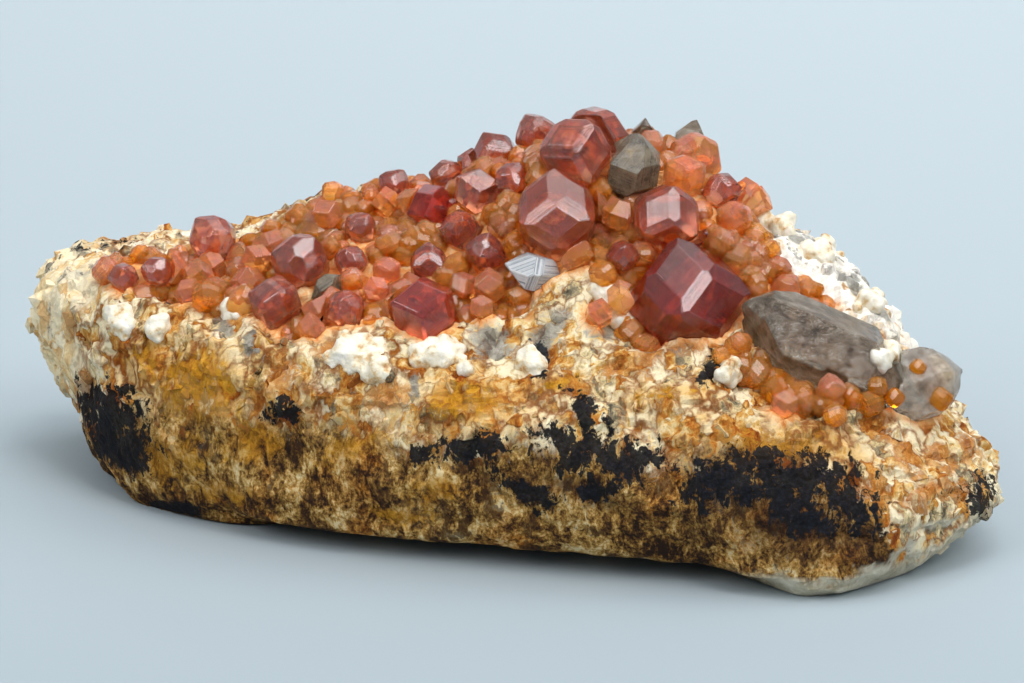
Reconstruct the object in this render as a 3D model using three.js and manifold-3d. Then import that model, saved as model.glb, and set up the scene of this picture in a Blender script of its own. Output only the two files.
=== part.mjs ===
// A hand specimen of spessartine garnet on matrix: a broken block of albite and quartz rock with
// a crust of garnets on its sloping upper face and smoky quartz crystals grown among them.
// Millimetres, +Z up. X runs along the block, Y from its stained front face to its back, and the
// origin is the middle of the block's outline on the surface that it rests on.
import * as THREE from "three";
import { ConvexGeometry } from "three/addons/geometries/ConvexGeometry.js";
import { ImprovedNoise } from "three/addons/math/ImprovedNoise.js";
import { mergeVertices } from "three/addons/utils/BufferGeometryUtils.js";
import Module from "manifold-3d";

const wasm = await Module();
wasm.setup();

// ---------- driving dimensions ----------
const GAP = 0.3; // clearance between a crystal and its socket or its neighbour
const SOCKET_CLEARANCE = GAP * 1.15; // a little more, because solids are rounded to 32-bit numbers
const CORNER_TOLERANCE = 1e-6;
const CORNER_SPACING = 0.02; // corners of a crystal nearer than this are one corner
const RINGS = 26; // cross-sections along the block
const RING_POINTS = 26; // points round each cross-section
const LUMP_SIZE = 9; // wavelength of the block's large lumps
const LUMP_HEIGHT = 1.1;
const CHIP_SIZE = 3.6; // wavelength of its smaller chips
const CHIP_HEIGHT = 0.5;

// ---------- the block ----------
// Cross-sections from the left end to the right end. Each goes round the block in [y, z] pairs:
// front foot, front bulge, front rim, mid slope, ridge, back shoulder, back, heel, sole.
const SECTIONS = [
  [-42, [17, 10], [14.5, 12], [14, 15], [15.5, 16.6], [18, 17], [21, 15.5], [22.5, 13], [21, 10.5], [19, 9.5]],
  [-39, [13, 6.5], [9.5, 10], [9, 15.5], [12, 17.6], [17, 18.4], [22, 16.5], [25, 11], [22, 5], [17, 4.5]],
  [-35, [7, 1.3], [4, 7.5], [4.5, 16], [9, 18.2], [16, 19], [23, 17], [26.5, 10], [24, 1], [15, -0.6]],
  [-31, [2.5, 0], [-0.5, 7], [0, 16.2], [7, 19], [16, 20.2], [23, 18], [27, 10], [25, -0.5], [13, -1.5]],
  [-24, [-2.5, 0], [-5, 7], [-4, 16.4], [5, 19.6], [15, 21.6], [22.5, 19], [27, 10], [25, -0.5], [11, -1.5]],
  [-15.5, [-7.5, 0.5], [-9.5, 7], [-8, 16], [1, 20.4], [13, 25], [21, 21], [26, 10], [24, -0.5], [8, -1.5]],
  [-7, [-10.5, 0.8], [-13, 7], [-10, 15.6], [0, 20.6], [10, 25.2], [19, 22], [25, 10], [23, -0.5], [6, -1.5]],
  [0.5, [-12.5, 1], [-15.2, 7], [-12, 15.6], [-3, 21], [8, 28.8], [16.5, 25], [23.5, 11], [22, -0.5], [4, -1.5]],
  [7.5, [-14, 1], [-16.6, 7], [-13, 15.2], [-4, 22.4], [6, 30.4], [15, 27], [22, 11], [21, -0.5], [3, -1.5]],
  [15, [-15.5, 0.7], [-18, 6.5], [-14, 14.6], [-5, 21.2], [6, 29.4], [14, 26], [20.5, 11], [20, -0.5], [2, -1.5]],
  [22, [-19, 0], [-20.3, 4.5], [-15, 13], [-6, 19], [5, 24.4], [13, 21.6], [19.5, 10], [18.5, -0.5], [0, -1.5]],
  [28, [-16.5, 0], [-19.3, 3], [-14.5, 11.6], [-6, 17.2], [3, 21.6], [11, 19], [17, 9.5], [16, -0.3], [0, -1.2]],
  [33, [-12.5, 0.6], [-16, 4.6], [-12.5, 10.2], [-6, 13.6], [1, 15.6], [8, 14], [13.5, 8], [12, 1], [-1, -0.4]],
  [37, [-9, 2.4], [-12.5, 5], [-10, 8.3], [-6.5, 9.8], [-2, 10.4], [4, 9.5], [8.5, 6.5], [7, 3], [-2, 1.8]],
  [39.5, [-8, 4.2], [-9.3, 5.2], [-8.5, 6.2], [-7, 6.6], [-5, 6.8], [-2, 6.4], [0, 5.5], [-1.5, 4.6], [-5, 4]],
];

const noise = new ImprovedNoise();

// Three octaves of smooth noise, from about -1 to 1, with lumps of the given size.
function lumps(p, size, shift) {
  let sum = 0;
  for (const [octave, weight] of [[1, 0.6], [2, 0.3], [4, 0.15]]) {
    const f = octave / size;
    sum += weight * noise.noise(p.x * f + shift, p.y * f + shift * 2, p.z * f + shift * 3);
  }
  return sum * 1.6;
}

// The smooth block: a closed ring of points at each cross-section, [ring][point].
function smoothRings() {
  const rails = SECTIONS[0].slice(1).map((_, rail) => {
    const points = SECTIONS.map(([x, ...yz]) => new THREE.Vector3(x, ...yz[rail]));
    return new THREE.CatmullRomCurve3(points, false, "centripetal");
  });
  return Array.from({ length: RINGS }, (_, i) => {
    const corners = rails.map((rail) => rail.getPoint(i / (RINGS - 1)));
    const ring = new THREE.CatmullRomCurve3(corners, true, "centripetal");
    return Array.from({ length: RING_POINTS }, (_, j) => ring.getPoint(j / RING_POINTS));
  });
}

// The block as a closed mesh: rings joined by triangles, a fan over each end, roughened by noise
// along the normals, and ground flat where it would pass below the surface that it rests on.
function blockGeometry() {
  const rings = smoothRings();
  const points = rings.flat();
  const endCentres = [rings[0], rings.at(-1)].map((ring) =>
    ring.reduce((sum, p) => sum.add(p), new THREE.Vector3()).divideScalar(RING_POINTS));
  const left = points.push(endCentres[0]) - 1;
  const right = points.push(endCentres[1]) - 1;
  const faces = [];
  const at = (i, j) => i * RING_POINTS + (j % RING_POINTS);
  for (let j = 0; j < RING_POINTS; j++) {
    for (let i = 0; i < RINGS - 1; i++) {
      faces.push(at(i, j), at(i + 1, j), at(i, j + 1), at(i + 1, j), at(i + 1, j + 1), at(i, j + 1));
    }
    faces.push(left, at(0, j), at(0, j + 1), right, at(RINGS - 1, j + 1), at(RINGS - 1, j));
  }
  const geometry = new THREE.BufferGeometry().setFromPoints(points).setIndex(faces);
  geometry.computeVertexNormals();
  const normals = geometry.getAttribute("normal");
  points.forEach((p, i) => {
    const height = LUMP_HEIGHT * lumps(p, LUMP_SIZE, 7.3) + CHIP_HEIGHT * lumps(p, CHIP_SIZE, 21.7);
    p.addScaledVector(new THREE.Vector3().fromBufferAttribute(normals, i), height);
    p.z = Math.max(p.z, 0);
  });
  return geometry.setFromPoints(points);
}

// ---------- solids ----------
function solidOf(geometry) {
  const bare = geometry.clone();
  bare.deleteAttribute("normal");
  bare.deleteAttribute("uv");
  const merged = mergeVertices(bare, 1e-4);
  const vertProperties = merged.getAttribute("position").array;
  return new wasm.Manifold(new wasm.Mesh({ numProp: 3, vertProperties, triVerts: new Uint32Array(merged.index.array) }));
}

function geometryOf(solid) {
  const mesh = solid.getMesh();
  const geometry = new THREE.BufferGeometry();
  geometry.setAttribute("position", new THREE.Float32BufferAttribute(mesh.vertProperties, 3));
  geometry.setIndex(Array.from(mesh.triVerts));
  return geometry;
}

// The largest piece of a solid, so that no chip is left behind by a cut.
function mainPiece(solid) {
  const pieces = solid.decompose();
  return pieces.reduce((best, piece) => (piece.volume() > best.volume() ? piece : best));
}

// The convex solid within a set of planes, each {normal, distance} from its centre: every corner
// where three planes meet is kept if no other plane cuts it off.
function crystalGeometry(planes) {
  const corners = [];
  planes.forEach((a, i) => planes.slice(i + 1).forEach((b, j) => planes.slice(i + j + 2).forEach((c) => {
    const bc = new THREE.Vector3().crossVectors(b.normal, c.normal);
    const volume = a.normal.dot(bc);
    if (Math.abs(volume) < 1e-4) return;
    const corner = bc.multiplyScalar(a.distance)
      .addScaledVector(new THREE.Vector3().crossVectors(c.normal, a.normal), b.distance)
      .addScaledVector(new THREE.Vector3().crossVectors(a.normal, b.normal), c.distance)
      .divideScalar(volume);
    const inside = planes.every((p) => p.normal.dot(corner) < p.distance + CORNER_TOLERANCE);
    if (inside && corners.every((known) => known.distanceTo(corner) > CORNER_SPACING)) corners.push(corner);
  })));
  return new ConvexGeometry(corners);
}

// A repeatable stream of numbers from 0 to 1.
function randomStream(seed) {
  let state = seed * 2654435761 % 4294967296;
  return () => {
    state = (state * 1664525 + 1013904223) % 4294967296;
    return state / 4294967296;
  };
}

// ---------- garnet ----------
// Face normals of the two forms that garnet grows: the 12 faces of the dodecahedron, {110},
// and the 24 of the trapezohedron, {211}.
function cubicForm(h, k, l) {
  const normals = new Map();
  for (const [a, b, c] of [[h, k, l], [k, h, l], [k, l, h], [h, l, k], [l, h, k], [l, k, h]]) {
    for (let signs = 0; signs < 8; signs++) {
      const v = new THREE.Vector3(signs & 1 ? -a : a, signs & 2 ? -b : b, signs & 4 ? -c : c);
      normals.set(v.toArray().map((n) => n + 0).join(), v.normalize());
    }
  }
  return [...normals.values()];
}
const DODECAHEDRON = cubicForm(1, 1, 0);
const TRAPEZOHEDRON = cubicForm(2, 1, 1);
const EDGES_UNTOUCHED = 1.1547; // {211} at this multiple of {110}'s distance only touches its edges

// A garnet of half-width radius. bevel is how far {211} cuts in: 0 gives a plain dodecahedron,
// 1 a plain trapezohedron. Uneven growth moves each face by a few percent.
function garnetGeometry(radius, bevel, seed) {
  const random = randomStream(seed);
  const uneven = () => 1 + 0.05 * (random() - 0.5);
  const planes = DODECAHEDRON.map((normal) => ({ normal, distance: radius * uneven() }));
  if (bevel > 0) {
    const reach = THREE.MathUtils.lerp(EDGES_UNTOUCHED, 0.87, bevel);
    planes.push(...TRAPEZOHEDRON.map((normal) => ({ normal, distance: radius * reach * uneven() })));
  }
  return crystalGeometry(planes);
}

// ---------- quartz ----------
// A six-sided prism along Z with a six-faced point at each end, flattened and tapered a little.
function quartzGeometry(radius, length, seed) {
  const random = randomStream(seed);
  const pointTilt = THREE.MathUtils.degToRad(38.2); // of the point's faces above the prism's
  const planes = [];
  for (let side = 0; side < 6; side++) {
    const turn = side * Math.PI / 3;
    const out = new THREE.Vector3(Math.cos(turn), Math.sin(turn), 0);
    planes.push({ normal: out, distance: radius * (0.85 + 0.3 * random()) });
    for (const end of [1, -1]) {
      const normal = out.clone().multiplyScalar(Math.cos(pointTilt)).setZ(end * Math.sin(pointTilt));
      planes.push({ normal, distance: (length / 2) * Math.sin(pointTilt) * (0.9 + 0.35 * random()) });
    }
  }
  return crystalGeometry(planes);
}

// ---------- where each crystal grows ----------
// What a garnet shows to the front: one direction of the crystal points at the viewer, and another,
// at right angles to it, lies along the view.
const FACE = { aim: [1, 1, 0], along: [1, -1, 0] }; // a dodecahedron face and its long diagonal
const CORNER = { aim: [1, 1, 1], along: [2, -1, -1] }; // where three such faces meet, and one edge
const BEVEL = { aim: [2, 1, 1], along: [1, -1, -1] }; // a trapezohedron face and its length
const VIEW_RISE = THREE.MathUtils.degToRad(17); // the front is seen from this far above level

// x and y are its place on the block seen from above, and its height follows from the block.
// lift is how far its middle stands off the block, in radii. shows is what it shows, how far that
// leans off the view, which way it leans and which way its second direction runs, in degrees
// anticlockwise from the right. A garnet without it lies at random.
const GARNETS = [
  { name: "garnet_hero", x: 14.3, y: -5.7, radius: 4.1, bevel: 0.33, lift: -0.15, shows: [CORNER, 40, 53, 233] },
  { name: "garnet_peak", x: 5.6, y: 4.2, radius: 2.75, bevel: 0.35, lift: 0.5, shows: [FACE, 30, -10, 90] },
  { name: "garnet_peak_back", x: 6.9, y: 6.9, radius: 2.4, bevel: 0.3, lift: 0.4 },
  { name: "garnet_upper_middle", x: 4, y: 0.5, radius: 3.1, bevel: 0.4, lift: 0.4, shows: [CORNER, 20, 93, 93] },
  { name: "garnet_front_ledge", x: -7.1, y: -4.4, radius: 2.4, bevel: 0.17, lift: 0.25, shows: [FACE, 30, 115, 4] },
  { name: "garnet_right_round", x: 12.5, y: -0.7, radius: 2.5, bevel: 0.4, lift: 0.5, shows: [BEVEL, 18, 45, 88] },
  { name: "garnet_left_red", x: -17.5, y: 3.2, radius: 2.25, bevel: 0.6, lift: 0.5, shows: [BEVEL, 27, 80, 48] },
  { name: "garnet_left_cap", x: -25.3, y: 9.6, radius: 1.9, lift: 0.5, shows: [FACE, 25, -60, 40] },
  { name: "garnet_left_front", x: -19.5, y: -0.5, radius: 1.9, bevel: 0.3, lift: 0.3 },
  { name: "garnet_ridge_grey", x: -2.6, y: 6.4, radius: 1.7, lift: 0.5 },
  { name: "garnet_ridge_dark", x: -6.4, y: 7, radius: 1.65, lift: 0.5 },
  { name: "garnet_ridge_back_left", x: -1, y: 11, radius: 1.75, lift: 0.6 },
  { name: "garnet_behind_hero", x: 13.7, y: -1.6, radius: 1.75, lift: 0.5 },
  { name: "garnet_slope_a", x: -4, y: 3.6, radius: 1.5, lift: 0.5 },
  { name: "garnet_slope_b", x: -6.7, y: 1.5, radius: 1.5, lift: 0.5 },
  { name: "garnet_slope_c", x: -1.9, y: 0.6, radius: 1.5, lift: 0.5 },
  { name: "garnet_slope_d", x: 0.4, y: 5.2, radius: 1.4, lift: 0.5 },
  { name: "garnet_slope_e", x: 5.3, y: -1.8, radius: 1.35, lift: 0.4 },
  { name: "garnet_slope_f", x: 9.2, y: -3.2, radius: 1.2, lift: 0.4 },
  { name: "garnet_slope_g", x: -13.5, y: -3.1, radius: 1.45, lift: 0.4 },
  { name: "garnet_slope_h", x: -13.4, y: 3, radius: 1.3, lift: 0.5 },
  { name: "garnet_slope_i", x: -10.4, y: 1.8, radius: 1.15, lift: 0.5 },
  { name: "garnet_slope_j", x: -12.7, y: 6.2, radius: 1.25, lift: 0.5 },
  { name: "garnet_ridge_a", x: -5.4, y: 11.5, radius: 1.35, lift: 0.6 },
  { name: "garnet_ridge_b", x: 2.3, y: 9.6, radius: 1.6, lift: 1.1 },
  { name: "garnet_ridge_c", x: -10, y: 12, radius: 1.25, lift: 0.6 },
  { name: "garnet_ridge_d", x: -3.2, y: 12, radius: 1.5, lift: 0.6 },
  { name: "garnet_ridge_e", x: 11.4, y: 7, radius: 1.3, lift: 0.8 },
  { name: "garnet_right_a", x: 18.2, y: 0.8, radius: 1.35, lift: 0.5 },
  { name: "garnet_right_b", x: 17.2, y: 2.8, radius: 1.45, lift: 0.6 },
  { name: "garnet_right_c", x: 14.1, y: 3, radius: 1.7, lift: 0.6 },
  { name: "garnet_right_d", x: 15.2, y: 7.6, radius: 1.9, lift: 0.6 },
  { name: "garnet_right_e", x: 22.2, y: -3.2, radius: 1.15, lift: 0.5 },
  { name: "garnet_left_a", x: -30, y: 6.2, radius: 1.25, lift: 0.5 },
  { name: "garnet_left_b", x: -32.8, y: 6.5, radius: 1.15, lift: 0.4 },
  { name: "garnet_low_a", x: 25.3, y: -12.1, radius: 1.1, lift: 0.4 },
];

// Smoky quartz. radius is across the prism, and axis is the way that the crystal points.
const QUARTZES = [
  { name: "smoky_quartz_long", x: 24.8, y: -7.9, radius: 3, length: 15.5, lift: 0.15, axis: [1, -0.1, -0.42] },
  { name: "smoky_quartz_end", x: 32.2, y: -7.6, radius: 2.9, length: 9, lift: 0.3, axis: [0.75, 0.5, 0.1] },
  { name: "smoky_quartz_peak", x: 10, y: 3, radius: 2.1, length: 7, lift: 0.5, axis: [0.1, -0.35, 1] },
  { name: "smoky_quartz_tip_left", x: 10.8, y: 8.4, radius: 0.9, length: 4.6, lift: 0.8, axis: [0.1, 0.1, 1] },
  { name: "smoky_quartz_tip_right", x: 14.4, y: 11, radius: 1.25, length: 4, lift: 1.3, axis: [0.3, 0.2, 1] },
  { name: "smoky_quartz_left", x: -15.2, y: 0.6, radius: 1, length: 3.4, lift: 0.3, axis: [0.8, 0.3, 0.5] },
  { name: "quartz_striated", x: 1.9, y: -2.3, radius: 1.5, length: 5, lift: 0.15, axis: [0.9, 0.1, -0.25] },
];

// Patches where small garnets have grown into each other, so that each patch is one solid.
const CRUSTS = [
  { name: "garnet_crust_far_left", x: -27.4, y: 5.5, count: 5 },
  { name: "garnet_crust_left", x: -22.2, y: 5.6, count: 7 },
  { name: "garnet_crust_upper_left", x: -16.5, y: 8.6, count: 6 },
  { name: "garnet_crust_lower_left", x: -16.6, y: -2.6, count: 5 },
  { name: "garnet_crust_middle_left", x: -9.8, y: -1.6, count: 5 },
  { name: "garnet_crust_upper_middle", x: -9.2, y: 8.2, count: 5 },
  { name: "garnet_crust_middle", x: -2.6, y: -2.6, count: 6 },
  { name: "garnet_crust_middle_right", x: 8, y: -0.2, count: 6 },
  { name: "garnet_crust_under_hero", x: 10.4, y: -6.6, count: 7 },
  { name: "garnet_crust_right", x: 18.6, y: 5.4, count: 7 },
  { name: "garnet_crust_low_right", x: 21.4, y: -11.4, count: 6 },
];
const CRUST_SPACING = 1.25; // how far apart the small crystals of a patch grow
const CRUST_RADIUS = 0.95;

// ---------- placing ----------
const blockMesh = new THREE.Mesh(blockGeometry());
blockMesh.material.side = THREE.DoubleSide;
const ray = new THREE.Raycaster();

function surfaceAt(x, y) {
  ray.set(new THREE.Vector3(x, y, 100), new THREE.Vector3(0, 0, -1));
  return ray.intersectObject(blockMesh)[0].point;
}

// The way that the block faces at x, y, over a span that smooths out its chips.
function outwardAt(x, y) {
  const span = 2;
  const slope = (dx, dy) => (surfaceAt(x + dx, y + dy).z - surfaceAt(x - dx, y - dy).z) / (2 * span);
  return new THREE.Vector3(-slope(span, 0), -slope(0, span), 1).normalize();
}

function seat({ x, y, radius, lift }) {
  return surfaceAt(x, y).addScaledVector(outwardAt(x, y), radius * lift);
}

function placed(geometry, position, rotation) {
  const matrix = new THREE.Matrix4().compose(position, rotation, new THREE.Vector3(1, 1, 1));
  return geometry.applyMatrix4(matrix);
}

// A crystal, and the hollow that it needs: the envelope is a plainer shape round the crystal, and
// the hollow is that shape larger by the clearance.
function crystal(shape, envelope, smallest, position, rotation) {
  const growth = 1 + SOCKET_CLEARANCE / smallest;
  const hollow = placed(envelope.scale(growth, growth, growth), position, rotation);
  return { solid: solidOf(placed(shape, position, rotation)), hollow, socket: solidOf(hollow) };
}

function randomTurn(random) {
  return new THREE.Quaternion().setFromEuler(new THREE.Euler(...[0, 0, 0].map(() => 2 * Math.PI * random())));
}

// A direction given as it looks from the front: right, up and towards the viewer.
function seenAs(right, up, towards) {
  const rise = Math.sin(VIEW_RISE);
  const level = Math.cos(VIEW_RISE);
  return new THREE.Vector3(right, up * rise - towards * level, up * level + towards * rise);
}

// Three directions at right angles: the first, the part of the second across it, and their cross.
function axesFrom(first, second) {
  const a = first.clone().normalize();
  const b = second.clone().addScaledVector(a, -second.dot(a)).normalize();
  return new THREE.Matrix4().makeBasis(a, b, new THREE.Vector3().crossVectors(a, b));
}

function turnToShow([{ aim, along }, ...degrees]) {
  const [tilt, heading, roll] = degrees.map(THREE.MathUtils.degToRad);
  const lean = Math.sin(tilt);
  const aimed = seenAs(lean * Math.cos(heading), lean * Math.sin(heading), Math.cos(tilt));
  const grown = axesFrom(new THREE.Vector3(...aim), new THREE.Vector3(...along));
  const seen = axesFrom(aimed, seenAs(Math.cos(roll), Math.sin(roll), 0));
  return new THREE.Quaternion().setFromRotationMatrix(seen.multiply(grown.transpose()));
}

function growGarnet(spec, index) {
  const turn = spec.shows ? turnToShow(spec.shows) : randomTurn(randomStream(100 + index));
  const shape = garnetGeometry(spec.radius, spec.bevel ?? 0, index + 1);
  const envelope = garnetGeometry(spec.radius, 0, index + 1);
  return crystal(shape, envelope, spec.radius * 0.95, seat(spec), turn);
}

function growQuartz(spec, index) {
  const turn = new THREE.Quaternion()
    .setFromUnitVectors(new THREE.Vector3(0, 0, 1), new THREE.Vector3(...spec.axis).normalize());
  const shape = quartzGeometry(spec.radius, spec.length, index + 5);
  return crystal(shape, shape.clone(), spec.radius * 0.8, seat(spec), turn);
}

// A patch of small garnets set out on a spiral, each grown into its neighbours, in one hollow.
function growCrust(spec, index) {
  const random = randomStream(300 + index);
  const goldenTurn = Math.PI * (3 - Math.sqrt(5));
  const grains = Array.from({ length: spec.count }, (_, i) => {
    const reach = CRUST_SPACING * Math.sqrt(i + 0.3);
    const radius = CRUST_RADIUS * (0.8 + 0.5 * random());
    const x = spec.x + reach * Math.cos(i * goldenTurn) * 1.3;
    const y = spec.y + reach * Math.sin(i * goldenTurn);
    const shape = garnetGeometry(radius, 0, index * 20 + i);
    return crystal(shape, shape.clone(), radius * 0.95, seat({ x, y, radius, lift: 0.35 }), randomTurn(random));
  });
  const rims = grains.flatMap(({ hollow }) => {
    const corners = hollow.getAttribute("position");
    return Array.from({ length: corners.count }, (_, i) => new THREE.Vector3().fromBufferAttribute(corners, i));
  });
  return {
    solid: wasm.Manifold.union(grains.map((grain) => grain.solid)),
    socket: solidOf(new ConvexGeometry(rims)),
  };
}

// ---------- the specimen ----------
const finish = {
  stone: { color: "#b59468", roughness: 0.85 },
  garnet: { color: "#a33a22", roughness: 0.12 },
  garnetCrust: { color: "#c2571f", roughness: 0.2 },
  quartz: { color: "#6b645c", roughness: 0.15 },
};
const materials = Object.fromEntries(
  Object.entries(finish).map(([name, look]) => [name, new THREE.MeshStandardMaterial({ metalness: 0, ...look })]));
const group = new THREE.Group();

function addPiece(name, solid, material) {
  const mesh = new THREE.Mesh(geometryOf(solid), material);
  mesh.name = name;
  group.add(mesh);
}

// Large crystals grew first: each one keeps its shape, and those that came later stop against it.
let taken = null;
function addCrystal(spec, { solid, socket }, material) {
  addPiece(spec.name, mainPiece(taken ? solid.subtract(taken) : solid), material);
  taken = taken ? taken.add(socket) : socket;
}
GARNETS.forEach((spec, i) => addCrystal(spec, growGarnet(spec, i), materials.garnet));
QUARTZES.forEach((spec, i) => addCrystal(spec, growQuartz(spec, i), materials.quartz));
CRUSTS.forEach((spec, i) => addCrystal(spec, growCrust(spec, i), materials.garnetCrust));
addPiece("matrix_rock", mainPiece(solidOf(blockMesh.geometry).subtract(taken)), materials.stone);

const outline = new THREE.Box3().setFromObject(group);
group.position.set(-(outline.min.x + outline.max.x) / 2, -(outline.min.y + outline.max.y) / 2, -outline.min.z);
export default group;
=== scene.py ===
# %% [markdown]
# # Garnet in matrix
# A hand specimen from a granite pocket: orange-red spessartine garnets and smoky quartz that grew
# over a broken block of albite and quartz rock. The CAD model gives the block and every crystal that
# can be picked out. Here the block gets its broken surface and its stains, the crystals get their
# faces, growth lines and clear insides, and everything too small for the CAD is added: fine garnet
# grains, albite grains and knobs, and the healed cracks inside the large garnets.

# %% Tools, and the CAD model as the frame
import itertools
import math

import bmesh
import bpy
import numpy as np
from mathutils import Matrix, Vector
from mathutils.bvhtree import BVHTree


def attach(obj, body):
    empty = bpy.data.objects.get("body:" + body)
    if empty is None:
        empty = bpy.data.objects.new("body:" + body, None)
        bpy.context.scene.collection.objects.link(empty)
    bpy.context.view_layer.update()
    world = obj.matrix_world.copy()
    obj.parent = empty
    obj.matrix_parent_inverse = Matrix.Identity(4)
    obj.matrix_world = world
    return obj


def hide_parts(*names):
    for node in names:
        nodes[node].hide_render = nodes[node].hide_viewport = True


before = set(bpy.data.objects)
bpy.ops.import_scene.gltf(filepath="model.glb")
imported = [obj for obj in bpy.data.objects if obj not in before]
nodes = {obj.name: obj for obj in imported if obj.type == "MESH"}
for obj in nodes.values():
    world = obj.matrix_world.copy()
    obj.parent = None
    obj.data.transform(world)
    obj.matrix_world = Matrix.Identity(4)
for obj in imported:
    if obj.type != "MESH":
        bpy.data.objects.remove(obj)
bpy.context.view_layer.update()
MM = 0.001
ROCK = "matrix_rock"

# %% [markdown]
# ## Working in numbers
# A rough stone is easiest to shape as a list of points: each point is pushed out or in by a few
# layers of random lumps. Two kinds of lump are enough. Smooth noise gives swells and dents, and
# cell noise gives the flat-topped blocks with cracks between them that broken feldspar has. Both are
# worked out for all points at once, from whole-number sums that come out the same on every run.


# %% Points of a mesh
def points_of(mesh):
    """A mesh's vertices in mm."""
    flat = np.empty(len(mesh.vertices) * 3)
    mesh.vertices.foreach_get("co", flat)
    return flat.reshape(-1, 3) / MM


def normals_of(mesh):
    flat = np.empty(len(mesh.vertices) * 3)
    mesh.vertices.foreach_get("normal", flat)
    return flat.reshape(-1, 3)


def move_points(mesh, points):
    mesh.vertices.foreach_set("co", (points * MM).ravel())
    mesh.update()


# %% Random lumps
def chance(whole_numbers, seed):
    """A random value from 0 to 1 for each row of three whole numbers."""
    x, y, z = whole_numbers.T
    mixed = (x * 73856093) ^ (y * 19349663) ^ (z * 83492791) ^ (seed * 26544357)
    mixed = (mixed ^ (mixed >> 13)) * 1274126177
    return ((mixed ^ (mixed >> 16)) & 0xFFFF) / 65535


def swells(points, size, seed):
    """Smooth lumps of about this size in mm, from -1 to 1."""
    scaled = points / size + 50
    corner = np.floor(scaled).astype(np.int64)
    part = scaled - corner
    part = part * part * (3 - 2 * part)
    total = np.zeros(len(points))
    for step in itertools.product((0, 1), repeat=3):
        weight = np.prod(np.where(step, part, 1 - part), axis=1)
        total += weight * (2 * chance(corner + step, seed) - 1)
    return total


def blocks(points, size, seed):
    """Cells of about this size in mm: each point's cell value from 0 to 1, and how far it is from the
    nearest crack between two cells, in mm."""
    scaled = points / size + 50
    corner = np.floor(scaled).astype(np.int64)
    nearest = np.full(len(points), 9.0)
    second = nearest.copy()
    value = np.zeros(len(points))
    for step in itertools.product((-1, 0, 1), repeat=3):
        cell = corner + step
        seed_point = cell + np.stack([chance(cell, seed + k) for k in (1, 2, 3)], axis=1)
        distance = np.linalg.norm(scaled - seed_point, axis=1)
        closer = distance < nearest
        second = np.where(closer, nearest, np.minimum(second, distance))
        value = np.where(closer, chance(cell, seed + 4), value)
        nearest = np.where(closer, distance, nearest)
    return value, (second - nearest) * size / 2


def fade(value, low, high):
    """0 below low, 1 above high, and a smooth step between."""
    t = np.clip((value - low) / (high - low), 0, 1)
    return t * t * (3 - 2 * t)


# %% [markdown]
# ## The block of rock
# The CAD block has the right outline and a socket for each crystal, but its surface is plain. A real
# broken face of albite and quartz is stepped: flat-topped grains a few millimetres across, cracks
# between them, and finer grains on top. A voxel remesh turns the CAD block into an even net of small
# squares, fine enough to carry that relief as real geometry. Then each point moves out or in along its
# normal. Where the rock meets a crystal it is drawn up against it, because the crystal grew there.

# %% An even net over the block
VOXEL = 0.42  # mm, the side of one square of the net
SNUG = 0.05  # mm left between the rock and a crystal that grew on it
REACH = 0.75  # rock nearer to a crystal than this is drawn up against it


def remeshed_copy(source, name, voxel):
    """A new object with the source's shape as an even net of squares."""
    rough = bpy.data.objects.new(name, source.data.copy())
    bpy.context.scene.collection.objects.link(rough)
    net = rough.modifiers.new("net", "REMESH")
    net.mode = "VOXEL"
    net.voxel_size = voxel * MM
    graph = bpy.context.evaluated_depsgraph_get()
    mesh = bpy.data.meshes.new_from_object(rough.evaluated_get(graph))
    rough.modifiers.clear()
    rough.data = mesh
    return rough


rock = remeshed_copy(nodes[ROCK], "albite_quartz_block", VOXEL)
print("rock net:", len(rock.data.vertices), "points")


# %% Where the crystals are
def tree_of(objects):
    """One search tree over several meshes, in mm."""
    corners, faces = [], []
    for one in objects:
        start = len(corners)
        corners.extend(points_of(one.data).tolist())
        faces.extend([start + v for v in face.vertices] for face in one.data.polygons)
    return BVHTree.FromPolygons(corners, faces)


crystal_tree = tree_of([node for name, node in nodes.items() if name != ROCK])


def nearest_crystal(points, reach=3.0):
    """For each point, the nearest place on a crystal and how far off it is, up to the reach."""
    places = points.copy()
    distances = np.full(len(points), reach)
    for i, point in enumerate(points.tolist()):
        place, normal, _, distance = crystal_tree.find_nearest(point, reach)
        if place is not None:
            inside = (Vector(point) - place).dot(normal) < 0
            places[i] = place + normal * SNUG
            distances[i] = 0 if inside else distance
    return places, distances


# %% The view from in front
LOOK_AT = Vector((1.34, -3.7, 15.5))  # mm
VIEW_TILT = math.radians(17)  # the front is looked at from this far above level
DISTANCE = 260  # mm
TO_CAMERA = Vector((0, -math.cos(VIEW_TILT), math.sin(VIEW_TILT)))
UPWARD = Vector((0, math.sin(VIEW_TILT), math.cos(VIEW_TILT)))


def front_view(points):
    """How far across and up each point looks from in front, in mm, from the middle of the view."""
    off = points - np.array(LOOK_AT)
    nearer = DISTANCE / (DISTANCE - off @ np.array(TO_CAMERA))
    return off[:, 0] * nearer, off @ np.array(UPWARD) * nearer


# %% The broken relief
BROWN_EDGE = [(-38, -3.6), (-30, -4.9), (-23, -4.9), (-18, -5.3), (-9, -7.4), (-1, -7.4), (7, -6.5),
              (12, -9.0), (17, -7.4), (24, -7.4), (28, -10.3), (31, -14.0), (33, -18.0), (41, -22.0)]


def facing_front(points, normals):
    """1 on the front of the block, 0 on its back."""
    return fade(-normals[:, 1] + 0.35 * normals[:, 2], -0.1, 0.35) * fade(12 - points[:, 1], 0, 6)


def worn_depth(points, normals):
    """How far below the edge of the worn brown zone each point is, in mm; the back has one low down."""
    across, up = front_view(points)
    below = np.interp(across, *zip(*BROWN_EDGE)) - up
    low_back = (8 - points[:, 2] + 5 * swells(points, 7.0, 44)) / 2
    return np.where(facing_front(points, normals) > 0.5, below, low_back)


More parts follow.
